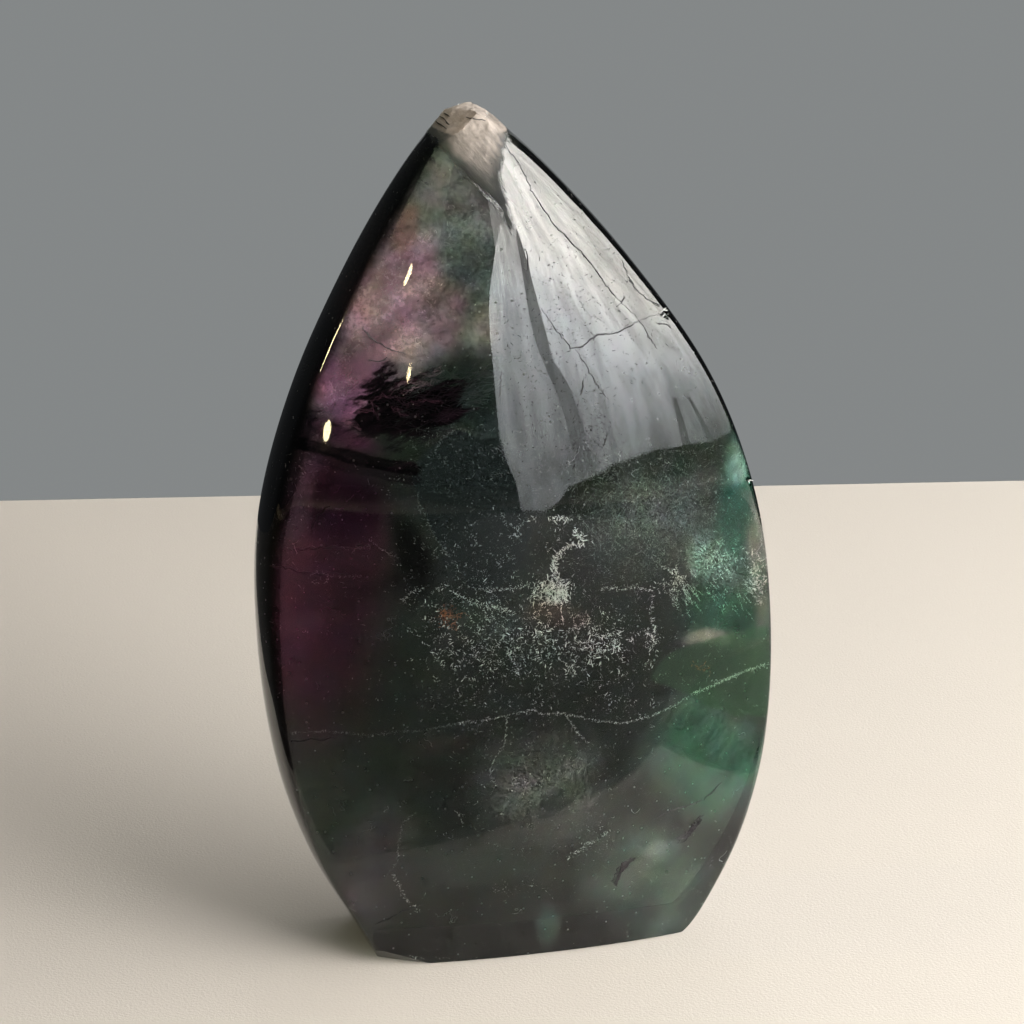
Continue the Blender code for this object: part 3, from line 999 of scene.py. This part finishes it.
def pane(name, corners, low, high, level):
    """A lit pane between these corners: low at the horizon, and high at this level in degrees."""
    mesh = bpy.data.meshes.new(name)
    mesh.from_pydata(corners, [], [tuple(range(len(corners)))])
    lit = new_piece(name, mesh)
    material, tree, shader, out = new_material(name)
    tree.nodes.remove(shader)
    place = put(tree, "ShaderNodeTexCoord").outputs["Object"]
    seen = put(tree, "ShaderNodeVectorMath", {0: place, 1: WINDOW_FROM}, operation="SUBTRACT").outputs[0]
    way = put(tree, "ShaderNodeVectorMath", {0: seen}, operation="NORMALIZE").outputs[0]
    rise = put(tree, "ShaderNodeSeparateXYZ", {0: way}).outputs[2]
    side = put(tree, "ShaderNodeVectorMath", {0: way, 1: bearing(100, 0)}, operation="DOT_PRODUCT")
    bright = ramp(tree, rise, math.sin(math.radians(-2)), math.sin(math.radians(level)), low, high)
    dimmer = ramp(tree, side.outputs["Value"], 0.55, 1.0, 1.0, 0.42)
    bright = maths(tree, "MULTIPLY", bright, dimmer)
    clouds = noise_at(tree, place, 20.0, 5.0, 0.6)[0]
    bright = maths(tree, "MULTIPLY", bright, ramp(tree, clouds, 0.34, 0.66, 0.74, 1.24))
    colour = mixed_colour(tree, ramp(tree, rise, 0.10, 0.30, 1.0, 0.0), WINDOW_WARM, WINDOW_COOL)
    glow = put(tree, "ShaderNodeEmission", {"Color": colour, "Strength": bright})
    tree.links.new(glow.outputs[0], out.inputs["Surface"])
    mesh.materials.append(material)
    lit.visible_camera = False


pane("side_pane", [on_window(*mirrored(*spot)) for spot in SIDE_PANE], *SIDE_GLOW)
corners = [on_window(*mirrored(*spot)) for spot in MAIN_PANE]
corners += [on_window(WINDOW_FROM, bearing(*way)) for way in MAIN_PANE_FAR]
corners += [on_window(*mirrored(*spot)) for spot in MAIN_PANE_FOOT]
pane("main_pane", corners, *MAIN_GLOW)
pane("post", [on_window(*mirrored(*spot), BAR_BEHIND) for spot in POST], *POST_GLOW)
pane("bars", [on_window(*mirrored(*spot), BAR_BEHIND) for spot in BARS], *BARS_GLOW)

for number, (spot, radius) in enumerate(LAMPS, 1):
    data = bpy.data.lights.new(f"lamp_{number}", "POINT")
    data.energy = LAMP_WATTS * radius**2
    data.color = LAMP_COLOUR
    data.shadow_soft_size = radius
    lamp = bpy.data.objects.new(data.name, data)
    start, way = mirrored(*spot)
    lamp.location = start + way * LAMP_DISTANCE
    bpy.context.scene.collection.objects.link(lamp)

# A dark sheet lies on the floor round the picture's left, front and right, unseen by the camera and
# casting no shadow, so that the stone mirrors little of the floor: painted shade in its reflections. It is
# black on the left and grey on the right.
SHADE_SHEET = ((-40, 500), (-40, 1045), (1064, 1045), (1064, 560))
SHADE_SHEET_WAYS = (-100, -50, 15, 60)
SHADE_SHEET_REACH = 0.9
SHADE_SHEET_HEIGHT = 0.0005
near = []
for spot in SHADE_SHEET:
    way = sight_line(*spot)
    near.append(eye - way * (eye.z / way.z))
far = [spot + bearing(azimuth, 0) * SHADE_SHEET_REACH for spot, azimuth in zip(near, SHADE_SHEET_WAYS)]
mesh = bpy.data.meshes.new("painted_shade_sheet")
corners = [(x, y, SHADE_SHEET_HEIGHT) for x, y, _ in near + far]
mesh.from_pydata(corners, [], [(0, 4, 5, 1), (1, 5, 6, 2), (2, 6, 7, 3)])
shade_sheet = new_piece("painted_shade_sheet", mesh)
material, tree, shader, out = new_material("painted_shade_sheet")
place = put(tree, "ShaderNodeTexCoord").outputs["Object"]
across = put(tree, "ShaderNodeSeparateXYZ", {0: place}).outputs[0]
# Painted shade: black on the left, grey towards the right.
tree.links.new(ramp(tree, across, -0.12, 0.05, 0.015, 0.125), shader.inputs["Base Color"])
shader.inputs["Roughness"].default_value = 0.9
mesh.materials.append(material)
shade_sheet.visible_camera = shade_sheet.visible_shadow = False

# A dim grey glow behind the stone is mirrored in its rims only.
WALL_BEHIND, WALL_WIDE, WALL_TALL = 0.7, 0.42, 0.9
across, up = bearing(CAMERA_AZIMUTH + 90, 0) * (WALL_WIDE / 2), Vector((0, 0, WALL_TALL))
foot = bearing(CAMERA_AZIMUTH + 180, 0) * WALL_BEHIND
mesh = bpy.data.meshes.new("wall_glow")
corners = [foot - across, foot + across, foot + across + up, foot - across + up]
mesh.from_pydata(corners, [], [(0, 1, 2, 3)])
wall = new_piece("wall_glow", mesh)
material, tree, shader, out = new_material("wall_glow")
tree.nodes.remove(shader)
glow = put(tree, "ShaderNodeEmission", {"Color": WALL_GREY, "Strength": 1.0})
tree.links.new(glow.outputs[0], out.inputs["Surface"])
mesh.materials.append(material)
wall.visible_camera = wall.visible_diffuse = wall.visible_transmission = wall.visible_shadow = False

# The soft panel high at the back
back_light = bpy.data.lights.new("back_panel", "AREA")
back_light.shape = "RECTANGLE"
back_light.size, back_light.size_y = BACK_PANEL_WIDE, BACK_PANEL_TALL
back_light.energy = BACK_PANEL_WATTS
back_panel = bpy.data.objects.new(back_light.name, back_light)
back_panel.location = Vector((0, 0, 0.05)) + bearing(*BACK_PANEL_AT) * BACK_PANEL_DISTANCE
back_panel.rotation_mode = "QUATERNION"
back_panel.rotation_quaternion = bearing(*BACK_PANEL_AT).to_track_quat("Z", "Y")
back_panel.visible_camera = False
bpy.context.scene.collection.objects.link(back_panel)

# All round it is dim, and the camera sees a lighter grey.
world = bpy.data.worlds.new("room")
world.use_nodes = True
tree = world.node_tree
path = put(tree, "ShaderNodeLightPath")
grey = mixed_colour(tree, path.outputs["Is Camera Ray"], ROOM_GREY, WALL_GREY)
tree.links.new(grey, tree.nodes["Background"].inputs["Color"])
bpy.context.scene.world = world
